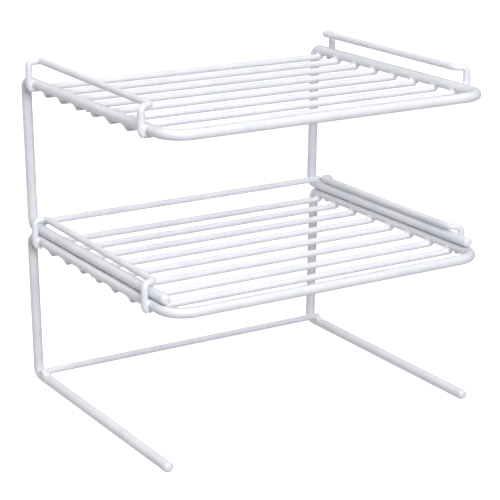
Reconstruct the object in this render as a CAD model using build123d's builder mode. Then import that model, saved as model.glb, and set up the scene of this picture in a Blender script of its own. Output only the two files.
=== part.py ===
from build123d import *
from math import cos, radians, sin, sqrt, tan
import os

# A stack of two identical wire shelves. Each shelf is one thick wire bent into feet,
# legs and a U-shaped rim, with thinner wires welded to it. The feet of the upper
# shelf lie on the rim of the lower one, held in by the lower shelf's side guards.
# Millimetres, +Z up, front towards -Y, origin on the floor under the middle.

# Wire sizes, measured over the coating
frame_wire_diameter = 6.35
thin_wire_diameter = 4.2
frame_end_rounding = 2.1
thin_end_rounding = 1.3

# Frame wire, to its centreline
rail_spacing = 219.0
foot_spacing = 216.0
rail_height = 98.5
shelf_depth = 185.0
foot_length = 177.2
foot_bend = 4.5
shoulder_bend = 5.6
front_corner_bend = 14.8

# Slats, welded under the side rails
slat_count = 8
slat_length = 220.0
slat_drop = 4.45
first_slat_setback = 7.6
slat_pitch = 21.3
last_slat_gap = 19.9

# Rear brace, welded on top of the feet; its left end stands out past the foot
brace_setback = 10.75
brace_height = 7.8
brace_left_reach = 111.6
brace_right_reach = 108.2

# Side guards, one bent wire along each side rail; the left ones climb a little to the rear
guard_rear_setback = 14.3
guard_front_setback = 160.4
guard_post_offset = 4.35
guard_jog = 7.5
guard_rear_slant = 1.0
guard_front_slant = 3.0
guard_front_rise = 12.4
guard_left_rear_rise = 13.9
guard_right_rear_rise = 12.5
guard_inner_lift = 0.4
guard_bend = 3.2
hook_turn = 42
hook_tail = 1.4

# How the upper shelf sits on the lower one
resting_gap = 0.25
rearward_offset = 1.0

frame_radius = frame_wire_diameter / 2
thin_radius = thin_wire_diameter / 2
rail_x = rail_spacing / 2
foot_x = foot_spacing / 2
foot_over_rail = sqrt((frame_wire_diameter + resting_gap) ** 2 - (rail_x - foot_x) ** 2)
tier_height = rail_height + foot_over_rail - frame_radius
lower_leg_y = (shelf_depth - rearward_offset) / 2
upper_leg_y = lower_leg_y + rearward_offset


def save(piece, name):
    """Label a finished piece and write it under its own name."""
    piece.part.label = name
    export_step(piece.part, f"parts/{name}.step")


def bent_wire(corners, bends, diameter, end_rounding):
    """A round wire through the corners, bent to the radii, with rounded cut ends."""
    with BuildPart() as wire:
        with BuildLine() as centreline:
            FilletPolyline(*corners, radius=bends)
        with BuildSketch(Plane(origin=centreline.line @ 0, z_dir=centreline.line % 0)):
            Circle(diameter / 2)
        sweep()
        cut_ends = wire.faces().filter_by(GeomType.PLANE)
        fillet(cut_ends.edges(), radius=end_rounding)
    return wire


def straight_wire(start_x, end_x, y, z):
    """A thin round wire lying along X, with rounded cut ends."""
    with BuildPart() as wire:
        with BuildSketch(Plane(origin=(start_x, y, z), z_dir=(1, 0, 0))):
            Circle(thin_radius)
        extrude(amount=end_x - start_x)
        cut_ends = wire.faces().filter_by(GeomType.PLANE)
        fillet(cut_ends.edges(), radius=thin_end_rounding)
    return wire


def welded_to(wire, frame):
    """The wire with a seat cut into it where it is sunk into the frame wire."""
    with BuildPart() as seated:
        add(wire.part)
        add(frame.part, mode=Mode.SUBTRACT)
    return seated


def make_frame(leg_y, floor_z):
    """Feet, legs, side rails and front rail in one wire."""
    rail_z = floor_z + rail_height
    foot_z = floor_z + frame_radius
    left_half = [
        (-foot_x, leg_y - foot_length, foot_z),
        (-foot_x, leg_y, foot_z),
        (-rail_x, leg_y, rail_z),
        (-rail_x, leg_y - shelf_depth, rail_z),
    ]
    right_half = [(-x, y, z) for x, y, z in reversed(left_half)]
    left_bends = [foot_bend, shoulder_bend, front_corner_bend]
    bends = left_bends + left_bends[::-1]
    return bent_wire(left_half + right_half, bends, frame_wire_diameter, frame_end_rounding)


def guard_half(side, post_y, rise, slant, rail_z):
    """Corners of one end of a side guard: hook under the rail, post, and jog to the inner wire."""
    post_x = rail_x + guard_post_offset
    hook_reach = guard_post_offset * tan(radians(hook_turn) / 2)
    tail = hook_reach + hook_tail
    hook_x = post_x - tail * sin(radians(hook_turn))
    hook_z = rail_z - hook_reach - tail * cos(radians(hook_turn))
    return [
        (side * hook_x, post_y, hook_z),
        (side * post_x, post_y, rail_z - hook_reach),
        (side * post_x, post_y, rail_z + rise),
        (side * (post_x - guard_jog), post_y + slant, rail_z + rise + guard_inner_lift),
    ]


def make_guard(side, leg_y, floor_z):
    """A side guard: hooked under the rail, up, inward, along the side and down again."""
    rail_z = floor_z + rail_height
    rear_rise = guard_left_rear_rise if side < 0 else guard_right_rear_rise
    rear_y = leg_y - guard_rear_setback
    front_y = leg_y - guard_front_setback
    rear_half = guard_half(side, rear_y, rear_rise, -guard_rear_slant, rail_z)
    front_half = guard_half(side, front_y, guard_front_rise, guard_front_slant, rail_z)
    half_bends = [guard_post_offset, guard_bend, guard_bend]
    bends = half_bends + half_bends[::-1]
    return bent_wire(rear_half + front_half[::-1], bends, thin_wire_diameter, thin_end_rounding)


def make_shelf(level, leg_y, floor_z):
    """Every wire of one shelf, each written as its own piece."""
    frame = make_frame(leg_y, floor_z)
    save(frame, f"{level}_frame_wire")

    slat_z = floor_z + rail_height - slat_drop
    last_regular = slat_count - 2
    for index in range(slat_count):
        setback = first_slat_setback + slat_pitch * min(index, last_regular)
        if index > last_regular:
            setback += last_slat_gap
        slat = straight_wire(-slat_length / 2, slat_length / 2, leg_y - setback, slat_z)
        save(welded_to(slat, frame), f"{level}_slat_{index + 1}")

    brace_y = leg_y - brace_setback
    brace = straight_wire(-brace_left_reach, brace_right_reach, brace_y, floor_z + brace_height)
    save(welded_to(brace, frame), f"{level}_rear_brace_wire")

    for side, name in ((-1, "left"), (1, "right")):
        guard = make_guard(side, leg_y, floor_z)
        save(welded_to(guard, frame), f"{level}_{name}_guard_wire")


os.makedirs("parts", exist_ok=True)
make_shelf("lower", lower_leg_y, 0)
make_shelf("upper", upper_leg_y, tier_height)
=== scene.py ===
import itertools
import math

import bpy
import numpy as np
from mathutils import Matrix, Vector


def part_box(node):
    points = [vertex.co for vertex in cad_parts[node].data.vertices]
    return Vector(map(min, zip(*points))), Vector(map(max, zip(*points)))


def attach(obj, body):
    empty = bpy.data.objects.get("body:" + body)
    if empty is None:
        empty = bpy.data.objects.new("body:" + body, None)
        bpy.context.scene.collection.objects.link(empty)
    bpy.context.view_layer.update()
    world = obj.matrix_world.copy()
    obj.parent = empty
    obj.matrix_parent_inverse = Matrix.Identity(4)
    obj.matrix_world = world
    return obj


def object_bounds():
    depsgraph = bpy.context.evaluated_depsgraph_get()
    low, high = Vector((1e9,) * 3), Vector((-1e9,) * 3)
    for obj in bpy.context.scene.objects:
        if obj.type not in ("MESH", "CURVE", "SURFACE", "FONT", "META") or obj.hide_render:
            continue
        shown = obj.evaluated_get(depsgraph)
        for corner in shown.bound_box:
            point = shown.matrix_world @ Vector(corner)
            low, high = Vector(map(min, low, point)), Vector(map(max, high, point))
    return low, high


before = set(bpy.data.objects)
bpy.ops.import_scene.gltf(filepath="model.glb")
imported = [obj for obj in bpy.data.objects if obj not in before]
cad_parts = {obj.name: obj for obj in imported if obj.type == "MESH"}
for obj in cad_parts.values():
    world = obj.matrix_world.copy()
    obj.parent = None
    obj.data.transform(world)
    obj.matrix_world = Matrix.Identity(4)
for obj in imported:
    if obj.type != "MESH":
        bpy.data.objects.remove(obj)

cad_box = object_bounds()
box_middle = (cad_box[0] + cad_box[1]) / 2

# All lengths are metres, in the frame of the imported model: +Z up, front towards -Y.
MM = 0.001
LEVELS = ("lower", "upper")
SIDES = {"left": -1, "right": 1}
SLATS = 8
RANDOM_SEED = 7

# Wires, bent and cut as in the CAD source
FRAME_RADIUS = 3.175 * MM
THIN_RADIUS = 2.1 * MM
THIN_END_ROUNDING = 1.3 * MM
FOOT_BEND = 4.5 * MM
SHOULDER_BEND = 5.6 * MM
FRONT_CORNER_BEND = 14.8 * MM
HOOK_TURN = math.radians(42)
HOOK_TAIL = 1.4 * MM
ARC_STEPS = 8

# Weld beads: least and greatest fillet, and half the edge of the cube that a bead is meshed in
SLAT_FILLET = (3.0 * MM, 4.0 * MM)
SLAT_REACH = 8.8 * MM
BRACE_FILLET = (2.4 * MM, 3.0 * MM)
BRACE_REACH = 7.2 * MM
GUARD_FILLET = (1.8 * MM, 2.4 * MM)
GUARD_REACH = 7.6 * MM
GUARD_BEAD_OUTWARD = 2.0 * MM
GUARD_BEAD_DROP = 0.5 * MM
GUARD_POST_STRETCH = 9.0 * MM

# The drip of coating under each left rail, in the gap behind the fifth slat
DRIP_SLAT = 5
DRIP_SHARE_OF_GAP = 0.28
DRIP_INWARD = 0.8 * MM
DRIP_DROP = 0.9 * MM
DRIP_RADIUS = 1.5 * MM
DRIP_FILLET = 1.4 * MM
DRIP_REACH = 4.4 * MM

# How beads are shaped and meshed
SUNK = 0.05 * MM
FILLET_END = 0.95
WIRE_STRETCH = 14.4 * MM
BEAD_STEP = 0.4 * MM
JUST_INSIDE = 0.001 * MM
FILL_PASSES = 4
SETTLE_PASSES = 2
LEAST_SQUARED_SLOPE = 0.25

# Coating
COATING_DIM = (0.755, 0.770, 0.838, 1)
COATING_BRIGHT = (0.830, 0.835, 0.880, 1)
COATING_GRAIN = (0.715, 0.728, 0.795, 1)
SPECK_GREY = (0.50, 0.49, 0.50, 1)
SCUFF_GREY = (0.50, 0.50, 0.52, 1)
SCUFF_STRENGTH = 0.55
SCUFF_CORE = 0.10 * MM
SCUFF_EDGE = 0.45 * MM
LUMP_DEPTH = 0.60 * MM
PEEL_DEPTH = 0.10 * MM

# Studio: the brightness of the surroundings is towards the two sides of X, Y and Z, negative side first
SURROUND = ((0.15, 0.24), (0.09, 0.97), (0.66, 0.66))
FRONT_SOFTBOX = {"place": (-0.5, -1.9, 1.1), "size": 1.0, "watts": 41.0}
HIGH_SOFTBOX = {"place": (-0.8, -0.35, 1.6), "size": 0.6, "watts": 5.0}
WHITE = (1, 1, 1, 1)
FLOOR_SIZE = 24.0
FLOOR_GAP = 0.1 * MM
FLOOR_GLOW = 0.62
DOME_RADIUS = 11.0
DOME_SEGMENTS = 48
DOME_RINGS = 24
DOME_GLOW = 1.05

# Camera, on the photograph's line of sight; its aim is off the middle of the box by this much in the picture
VIEW_AZIMUTH = math.radians(31.914)
VIEW_ELEVATION = math.radians(17.006)
VIEW_ROLL = math.radians(0.235)
VIEW_DISTANCE = 1.05563
AIM_RIGHT = -0.887 * MM
AIM_UP = -12.313 * MM
LENS_MM = 120.155
SENSOR_MM = 36.0
NEAREST_SEEN = 0.01
FARTHEST_SEEN = 60.0


# ---------------------------------------------------------------- shader helpers

class Shader:
    """A small builder for one node tree."""

    def __init__(self, tree):
        self.tree = tree
        tree.nodes.clear()

    def node(self, kind, inputs=None, **settings):
        """A node with its plain settings, and values or links on its inputs."""
        made = self.tree.nodes.new(kind)
        for name, value in settings.items():
            setattr(made, name, value)
        for name, value in (inputs or {}).items():
            self.fill(made.inputs[name], value)
        return made

    def fill(self, socket, value):
        """A link into a socket where the value is another node's output, and else the value itself."""
        if isinstance(value, bpy.types.NodeSocket):
            self.tree.links.new(value, socket)
        else:
            socket.default_value = value

    def noise(self, where, scale, detail=2.0):
        made = self.node("ShaderNodeTexNoise", {"Vector": where, "Scale": scale, "Detail": detail})
        return made.outputs["Fac"]

    def remap(self, value, low, high, to_low=0.0, to_high=1.0):
        """Value stretched from low..high to to_low..to_high, held at the ends."""
        made = self.node("ShaderNodeMapRange", {
            "Value": value, "From Min": low, "From Max": high, "To Min": to_low, "To Max": to_high})
        return made.outputs["Result"]

    def mix(self, share, first, second):
        """The first colour, turned towards the second by the share."""
        made = self.node("ShaderNodeMix", data_type="RGBA")
        for name, value in (("Factor", share), ("A", first), ("B", second)):
            self.fill(next(s for s in made.inputs if s.name == name and s.enabled), value)
        return next(s for s in made.outputs if s.enabled)

    def math(self, operation, first, second=0.0):
        made = self.node("ShaderNodeMath", {0: first, 1: second}, operation=operation)
        return made.outputs[0]

    def bump(self, height, distance, strength, below=None):
        """The surface raised by the height, on top of another bump where one is given."""
        inputs = {"Height": height, "Distance": distance, "Strength": strength}
        if below is not None:
            inputs["Normal"] = below
        return self.node("ShaderNodeBump", inputs).outputs["Normal"]


def new_surface(name):
    """A material with an empty node tree, and its builder."""
    material = bpy.data.materials.new(name)
    material.use_nodes = True
    return material, Shader(material.node_tree)


# ---------------------------------------------------------------- materials

def scuffed(shader, colour, height, rubbed_height, clouds):
    """The colour, greyed in a broken line at the height where the wire rubs."""
    off = shader.math("ABSOLUTE", shader.math("SUBTRACT", height, rubbed_height))
    band = shader.remap(off, SCUFF_CORE, SCUFF_EDGE, 1.0, 0.0)
    broken = shader.math("MULTIPLY", band, shader.remap(clouds, 0.42, 0.60))
    return shader.mix(shader.math("MULTIPLY", broken, SCUFF_STRENGTH), colour, SCUFF_GREY)


def coated_steel(name, rubbed_heights):
    """Thick white coating: faintly lavender, slightly lumpy, orange-peeled, scuffed where wires rub."""
    material, shader = new_surface(name)
    place = shader.node("ShaderNodeTexCoord").outputs["Object"]
    height = shader.node("ShaderNodeSeparateXYZ", {"Vector": place}).outputs["Z"]

    clouds = shader.noise(place, 55.0, 3.0)
    grain = shader.noise(place, 420.0, 3.0)
    peel = shader.noise(place, 900.0)
    lumps = shader.noise(place, 130.0)
    specks = shader.noise(place, 1500.0, 1.0)

    colour = shader.mix(shader.remap(clouds, 0.35, 0.65), COATING_DIM, COATING_BRIGHT)
    colour = shader.mix(shader.remap(grain, 0.55, 0.75, 0.0, 0.35), colour, COATING_GRAIN)
    colour = shader.mix(shader.remap(specks, 0.72, 0.78, 0.0, 0.6), colour, SPECK_GREY)
    for rubbed_height in rubbed_heights:
        colour = scuffed(shader, colour, height, rubbed_height, clouds)

    roughness = shader.remap(grain, 0.3, 0.7, 0.24, 0.42)
    relief = shader.bump(lumps, LUMP_DEPTH, 0.55)
    relief = shader.bump(peel, PEEL_DEPTH, 0.60, relief)
    skin = shader.node("ShaderNodeBsdfPrincipled", {
        "Base Color": colour, "Roughness": roughness, "Normal": relief, "IOR": 1.5,
        "Coat Weight": 0.4, "Coat Roughness": 0.14})
    shader.node("ShaderNodeOutputMaterial", {"Surface": skin.outputs[0]})
    return material


def floor_surface():
    """A matt, almost white studio floor that glows a little, so that shadows on it stay faint."""
    material, shader = new_surface("studio_floor")
    place = shader.node("ShaderNodeTexCoord").outputs["Object"]
    colour = shader.mix(shader.noise(place, 3.0), (0.90, 0.90, 0.90, 1), (0.93, 0.93, 0.93, 1))
    skin = shader.node("ShaderNodeBsdfPrincipled", {
        "Base Color": colour, "Roughness": 0.9, "Specular IOR Level": 0.1,
        "Emission Color": WHITE, "Emission Strength": FLOOR_GLOW})
    shader.node("ShaderNodeOutputMaterial", {"Surface": skin.outputs[0]})
    return material


def backdrop_surface():
    """A plain white glow."""
    material, shader = new_surface("studio_backdrop")
    glow = shader.node("ShaderNodeEmission", {"Color": WHITE, "Strength": DOME_GLOW})
    shader.node("ShaderNodeOutputMaterial", {"Surface": glow.outputs[0]})
    return material


# ---------------------------------------------------------------- wire paths and distances

def rounded_path(corners, bends):
    """Points along straight runs between the corners, with an arc of the given radius at each one."""
    corners = [np.array(corner, float) for corner in corners]
    points = [corners[0]]
    for before, corner, after, radius in zip(corners, corners[1:], corners[2:], bends):
        towards_before = (before - corner) / np.linalg.norm(before - corner)
        towards_after = (after - corner) / np.linalg.norm(after - corner)
        opening = math.acos(float(towards_before @ towards_after))
        bisector = (towards_before + towards_after) / np.linalg.norm(towards_before + towards_after)
        centre = corner + bisector * radius / math.sin(opening / 2)
        run = radius / math.tan(opening / 2)
        first = corner + towards_before * run - centre
        last = corner + towards_after * run - centre
        turn = math.pi - opening
        for share in np.linspace(0, 1, ARC_STEPS + 1):
            spoke = math.sin((1 - share) * turn) * first + math.sin(share * turn) * last
            points.append(centre + spoke / math.sin(turn))
    points.append(corners[-1])
    return np.array(points)


def nearby(path, centre):
    """The stretch of a path that passes near a place."""
    centre = np.array(centre)
    near = []
    for start, end in zip(path[:-1], path[1:]):
        run = end - start
        share = np.clip((centre - start) @ run / (run @ run), 0, 1)
        near.append(np.linalg.norm(centre - start - share * run) < WIRE_STRETCH)
    first = near.index(True)
    last = len(near) - near[::-1].index(True)
    return path[first:last + 1]


def tube(path, radius):
    """Signed distance to a round tube along the path."""
    def distance(points):
        nearest = np.full(len(points), np.inf)
        for start, end in zip(path[:-1], path[1:]):
            run = end - start
            share = np.clip((points - start) @ run / (run @ run), 0, 1)
            nearest = np.minimum(nearest, np.linalg.norm(points - start - share[:, None] * run, axis=1))
        return nearest - radius
    return distance


def rod(start_x, end_x, y, z):
    """Signed distance to a thin wire along X with rounded cut ends."""
    middle = (start_x + end_x) / 2
    half = (end_x - start_x) / 2

    def distance(points):
        along = np.abs(points[:, 0] - middle) - (half - THIN_END_ROUNDING)
        across = np.hypot(points[:, 1] - y, points[:, 2] - z) - (THIN_RADIUS - THIN_END_ROUNDING)
        outside = np.hypot(np.maximum(along, 0), np.maximum(across, 0))
        return outside + np.minimum(np.maximum(along, across), 0) - THIN_END_ROUNDING
    return distance


def ball(centre, radius):
    """Signed distance to a ball."""
    def distance(points):
        return np.linalg.norm(points - np.array(centre), axis=1) - radius
    return distance


def fused(first, second, fillet):
    """The rounded bridge between two bodies, closed just inside them away from the joint."""
    def distance(points):
        a = first(points)
        b = second(points)
        overlap = np.maximum(fillet - np.abs(a - b), 0)
        bridge = np.minimum(a, b) - overlap ** 2 / (4 * fillet) + SUNK
        return np.maximum(bridge, np.maximum(a, b) - FILLET_END * fillet)
    return distance


# ---------------------------------------------------------------- meshing, by naive surface nets

def surface_of(distance, centre, reach):
    """Vertices and quads where the distance is zero, in a cube of half-size reach."""
    count = int(round(2 * reach / BEAD_STEP)) + 1
    line = np.arange(count) * BEAD_STEP - reach
    grid = np.stack(np.meshgrid(line, line, line, indexing="ij"), -1) + np.array(centre)
    value = distance(grid.reshape(-1, 3)).reshape(count, count, count)
    join_diagonals(value)
    numbers, places = surface_vertices(value)
    vertices = np.array(centre) - reach + places * BEAD_STEP
    return settle(distance, vertices), surface_quads(value < 0, numbers)


def join_diagonals(value):
    """Fill the grid where two inside points meet only across a square, so that no edge gets four faces."""
    for _ in range(FILL_PASSES):
        for pair in ((0, 1), (0, 2), (1, 2)):
            grid = np.moveaxis(value, pair, (0, 1))
            low, right, up, high = grid[:-1, :-1], grid[1:, :-1], grid[:-1, 1:], grid[1:, 1:]
            right[(low < 0) & (high < 0) & (right >= 0) & (up >= 0)] = -JUST_INSIDE
            low[(right < 0) & (up < 0) & (low >= 0) & (high >= 0)] = -JUST_INSIDE


def surface_vertices(value):
    """The number of the vertex in each grid cell that the surface crosses, and the vertices in grid steps."""
    cells = len(value) - 1
    total = np.zeros((cells, cells, cells, 3))
    hits = np.zeros((cells, cells, cells))
    for along in range(3):
        for offsets in itertools.product((0, 1), repeat=2):
            low = list(offsets)
            low.insert(along, 0)
            high = list(offsets)
            high.insert(along, 1)
            a = value[tuple(slice(offset, offset + cells) for offset in low)]
            b = value[tuple(slice(offset, offset + cells) for offset in high)]
            crossing = (a < 0) != (b < 0)
            share = np.divide(a, a - b, out=np.zeros_like(a), where=crossing)
            hits += crossing
            for axis in range(3):
                total[..., axis] += crossing * (share if axis == along else low[axis])
    active = np.argwhere(hits > 0)
    crossed = tuple(active.T)
    numbers = np.full((cells, cells, cells), -1)
    numbers[crossed] = np.arange(len(active))
    return numbers, active + total[crossed] / hits[crossed][:, None]


def surface_quads(inside, numbers):
    """A quad of the four cells around each grid edge that the surface crosses, facing outward."""
    quads = []
    for along in range(3):
        near = [slice(None)] * 3
        near[along] = slice(0, -1)
        far = [slice(None)] * 3
        far[along] = slice(1, None)
        starts = inside[tuple(near)]
        ends = inside[tuple(far)]
        across = [axis for axis in range(3) if axis != along]
        for edge in np.argwhere(starts != ends):
            around = []
            for back in ((1, 1), (0, 1), (0, 0), (1, 0)):
                cell = edge.copy()
                cell[across] -= back
                around.append(numbers[tuple(cell)])
            in_order = starts[tuple(edge)] == (along != 1)
            quads.append(around if in_order else around[::-1])
    return quads


def settle(distance, vertices):
    """Vertices moved onto the zero surface along its slope."""
    probe = BEAD_STEP / 20
    for _ in range(SETTLE_PASSES):
        slope = np.zeros_like(vertices)
        for axis in range(3):
            shift = np.zeros(3)
            shift[axis] = probe
            slope[:, axis] = (distance(vertices + shift) - distance(vertices - shift)) / (2 * probe)
        step = distance(vertices) / np.maximum((slope ** 2).sum(1), LEAST_SQUARED_SLOPE)
        vertices = vertices - slope * step[:, None]
    return vertices


# ---------------------------------------------------------------- the shelves

class Shelf:
    """One packed shelf: its two coatings, the path of its frame wire, and where its right side turns.

    rail is the corner where the rail's and the leg's centrelines meet, and foot the one at the floor.
    """

    def __init__(self, level):
        self.level = level
        low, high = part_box(f"{level}_frame_wire")
        self.coatings = {
            "frame_coating": coated_steel(f"{level}_frame_coating", [low.z, high.z]),
            "thin_wire_coating": coated_steel(f"{level}_thin_coating", [])}

        front_y = low.y + FRAME_RADIUS
        leg_y = high.y - FRAME_RADIUS
        floor_vertices = [vertex.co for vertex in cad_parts[f"{level}_frame_wire"].data.vertices
                          if vertex.co.z < low.z + 2 * FRAME_RADIUS]
        foot_x = max(co.x for co in floor_vertices) - FRAME_RADIUS
        tip_y = min(co.y for co in floor_vertices)
        self.rail = Vector((high.x - FRAME_RADIUS, leg_y, high.z - FRAME_RADIUS))
        self.foot = Vector((foot_x, leg_y, low.z + FRAME_RADIUS))
        right_half = [
            (self.foot.x, tip_y, self.foot.z),
            tuple(self.foot),
            tuple(self.rail),
            (self.rail.x, front_y, self.rail.z)]
        left_half = [(-x, y, z) for x, y, z in reversed(right_half)]
        bends = [FOOT_BEND, SHOULDER_BEND, FRONT_CORNER_BEND]
        self.wire = rounded_path(right_half + left_half, bends + bends[::-1])


def dress_nodes(shelf):
    """The shelf's coatings on its packed wires."""
    for name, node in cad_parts.items():
        if name.startswith(shelf.level):
            slot = "frame_coating" if name.endswith("frame_wire") else "thin_wire_coating"
            node.data.materials.clear()
            node.data.materials.append(shelf.coatings[slot])


def add_bead(shelf, name, slot, welded, fillet, centre, reach):
    """Coating that rounds off what is welded to the frame wire, as a smooth closed mesh on its shelf."""
    frame_wire = tube(nearby(shelf.wire, centre), FRAME_RADIUS)
    vertices, quads = surface_of(fused(frame_wire, welded, fillet), centre, reach)
    mesh = bpy.data.meshes.new(name)
    mesh.from_pydata(vertices.tolist(), [], quads)
    mesh.polygons.foreach_set("use_smooth", [True] * len(mesh.polygons))
    mesh.materials.append(shelf.coatings[slot])
    bead = bpy.data.objects.new(name, mesh)
    bpy.context.scene.collection.objects.link(bead)
    body = f"{shelf.level}_shelf"
    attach(bead, body)


def add_slat_bead(shelf, side, number, random):
    low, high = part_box(f"{shelf.level}_slat_{number}")
    y = (low.y + high.y) / 2
    z = low.z + THIN_RADIUS
    slat = rod(low.x, high.x, y, z)
    centre = (SIDES[side] * shelf.rail.x, y, (shelf.rail.z + z) / 2)
    add_bead(shelf, f"{shelf.level}_slat_{number}_{side}_bead", "thin_wire_coating",
             slat, random.uniform(*SLAT_FILLET), centre, SLAT_REACH)


def add_brace_bead(shelf, side, random):
    low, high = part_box(f"{shelf.level}_rear_brace_wire")
    y = (low.y + high.y) / 2
    z = high.z - THIN_RADIUS
    brace = rod(low.x, high.x, y, z)
    centre = (SIDES[side] * shelf.foot.x, y, (shelf.foot.z + z) / 2)
    add_bead(shelf, f"{shelf.level}_brace_{side}_bead", "thin_wire_coating",
             brace, random.uniform(*BRACE_FILLET), centre, BRACE_REACH)


def post_path(sign, post_x, post_y, rail):
    """Centreline of a guard post from its hooked end under the rail up to just above the rail."""
    grip = post_x - rail.x
    turns = np.linspace(HOOK_TURN, 0, ARC_STEPS)
    arc = [(rail.x + grip * math.cos(turn), rail.z - grip * math.sin(turn)) for turn in turns]
    end_x = arc[0][0] - HOOK_TAIL * math.sin(HOOK_TURN)
    end_z = arc[0][1] - HOOK_TAIL * math.cos(HOOK_TURN)
    outline = [(end_x, end_z)] + arc + [(post_x, rail.z + GUARD_POST_STRETCH)]
    return np.array([(sign * x, post_y, z) for x, z in outline])


def add_guard_bead(shelf, side, end, random):
    low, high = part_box(f"{shelf.level}_{side}_guard_wire")
    post_x = max(-low.x, high.x) - THIN_RADIUS
    post_y = high.y - THIN_RADIUS if end == "rear" else low.y + THIN_RADIUS
    post = tube(post_path(SIDES[side], post_x, post_y, shelf.rail), THIN_RADIUS)
    centre = (SIDES[side] * (shelf.rail.x + GUARD_BEAD_OUTWARD), post_y, shelf.rail.z - GUARD_BEAD_DROP)
    add_bead(shelf, f"{shelf.level}_{side}_guard_{end}_bead", "thin_wire_coating",
             post, random.uniform(*GUARD_FILLET), centre, GUARD_REACH)


def add_drip(shelf):
    """A small drip of coating under the left rail."""
    slat_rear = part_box(f"{shelf.level}_slat_{DRIP_SLAT}")[1].y
    next_slat_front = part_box(f"{shelf.level}_slat_{DRIP_SLAT - 1}")[0].y
    y = slat_rear + DRIP_SHARE_OF_GAP * (next_slat_front - slat_rear)
    centre = (-shelf.rail.x + DRIP_INWARD, y, shelf.rail.z - FRAME_RADIUS - DRIP_DROP)
    add_bead(shelf, f"{shelf.level}_coating_drip", "frame_coating",
             ball(centre, DRIP_RADIUS), DRIP_FILLET, centre, DRIP_REACH)


def add_beads(shelf, random):
    """The rounded coating at every weld of one shelf, and its drip."""
    for side in SIDES:
        for number in range(1, SLATS + 1):
            add_slat_bead(shelf, side, number, random)
        add_brace_bead(shelf, side, random)
        for end in ("rear", "front"):
            add_guard_bead(shelf, side, end, random)
    add_drip(shelf)


# ---------------------------------------------------------------- studio

def add_stage():
    """A floor just under the feet inside a glowing dome, both seen only by the camera."""
    bpy.ops.mesh.primitive_plane_add(size=FLOOR_SIZE, location=(0, 0, cad_box[0].z - FLOOR_GAP))
    floor = bpy.context.object
    floor.name = "studio_floor"
    floor.data.materials.append(floor_surface())
    bpy.ops.mesh.primitive_uv_sphere_add(
        radius=DOME_RADIUS, segments=DOME_SEGMENTS, ring_count=DOME_RINGS, location=(0, 0, 0))
    dome = bpy.context.object
    dome.name = "studio_backdrop"
    dome.data.materials.append(backdrop_surface())
    for screen in (floor, dome):
        screen.visible_diffuse = False
        screen.visible_glossy = False
        screen.visible_transmission = False
        screen.visible_shadow = False


def add_softbox(name, place, size, watts):
    """A square area light aimed at the middle of the object."""
    light = bpy.data.lights.new(name, "AREA")
    light.shape = "SQUARE"
    light.size = size
    light.energy = watts
    lamp = bpy.data.objects.new(name, light)
    lamp.location = place
    lamp.rotation_euler = (box_middle - Vector(place)).to_track_quat("-Z", "Y").to_euler()
    bpy.context.scene.collection.objects.link(lamp)


def surround_brightness(shader):
    """Brightness of the surroundings by direction, blended between six sides by the squared direction."""
    direction = shader.node("ShaderNodeTexCoord").outputs["Generated"]
    parts = shader.node("ShaderNodeSeparateXYZ", {"Vector": direction}).outputs
    total = 0.0
    for part, (negative_side, positive_side) in zip(parts, SURROUND):
        positive = shader.math("GREATER_THAN", part, 0.0)
        side = shader.remap(positive, 0.0, 1.0, negative_side, positive_side)
        squared = shader.math("MULTIPLY", part, part)
        total = shader.math("ADD", shader.math("MULTIPLY", squared, side), total)
    return total


def add_light():
    """A pale room that is brightest behind, a broad softbox in front and a weaker one high on the left."""
    world = bpy.data.worlds.new("studio")
    bpy.context.scene.world = world
    world.use_nodes = True
    shader = Shader(world.node_tree)
    sky = shader.node("ShaderNodeBackground", {"Color": WHITE, "Strength": surround_brightness(shader)})
    shader.node("ShaderNodeOutputWorld", {"Surface": sky.outputs[0]})
    add_softbox("front_softbox", **FRONT_SOFTBOX)
    add_softbox("high_softbox", **HIGH_SOFTBOX)


def add_camera():
    """A long lens, turned, tilted and then rolled about its own line of sight."""
    camera = bpy.data.objects.new("camera", bpy.data.cameras.new("camera"))
    camera.data.sensor_width = SENSOR_MM
    camera.data.lens = LENS_MM
    camera.data.clip_start = NEAREST_SEEN
    camera.data.clip_end = FARTHEST_SEEN
    turn = Matrix.Rotation(-VIEW_AZIMUTH, 4, "Z")
    tilt = Matrix.Rotation(math.pi / 2 - VIEW_ELEVATION, 4, "X")
    roll = Matrix.Rotation(VIEW_ROLL, 4, "Z")
    place = box_middle + turn @ tilt @ Vector((AIM_RIGHT, AIM_UP, VIEW_DISTANCE))
    camera.matrix_world = Matrix.Translation(place) @ turn @ tilt @ roll
    bpy.context.scene.collection.objects.link(camera)
    bpy.context.scene.camera = camera


# ---------------------------------------------------------------- build

random = np.random.default_rng(RANDOM_SEED)
for level in LEVELS:
    shelf = Shelf(level)
    dress_nodes(shelf)
    add_beads(shelf, random)

add_stage()
add_light()
add_camera()
bpy.context.scene.view_settings.view_transform = "Standard"
